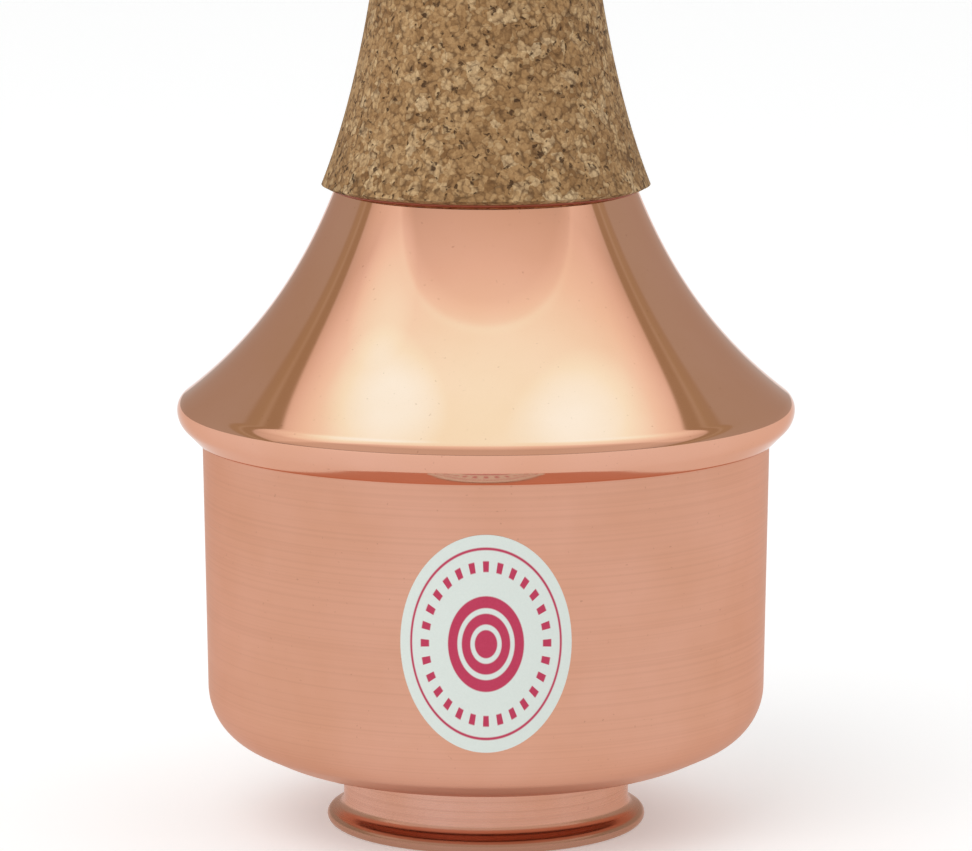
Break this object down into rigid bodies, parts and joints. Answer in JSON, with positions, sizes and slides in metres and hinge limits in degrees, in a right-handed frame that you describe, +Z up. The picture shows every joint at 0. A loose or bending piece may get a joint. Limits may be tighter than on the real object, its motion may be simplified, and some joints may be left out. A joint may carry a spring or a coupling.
{
  "type": "trumpet wah-wah mute",
  "caption": "Copper trumpet mute with a cork-wrapped neck, a flared upper shell, a rounded lower cup and a sliding stem that ends in a small rimmed cup.",
  "frame": {"origin": "on the mute's axis, at the floor under the stem cup's rim", "axes": "+Z up along the axis, from the stem cup to the corked neck; the mute is round, so X and Y are free"},
  "size_m": [0.104, 0.104, 0.1565],
  "materials": {
    "polished_copper": "mirror polished copper",
    "satin_copper": "satin spun copper",
    "plain_copper": "plain copper, unpolished inside",
    "agglomerated_cork": "sanded agglomerated cork"
  },
  "bodies": {
    "mute_body": {"neck_shell": "polished_copper", "cork_sleeve": "agglomerated_cork", "body_cup": "satin_copper", "base_funnel": "plain_copper", "guide_sleeve": "plain_copper"},
    "stem": {"stem_tube": "satin_copper", "stem_cup": "satin_copper"}
  },
  "joints": [
    {"name": "stem_slide", "type": "slide", "parent": "mute_body", "child": "stem", "axis": [0, 0, -1], "range_m": [0, 0.036]}
  ]
}
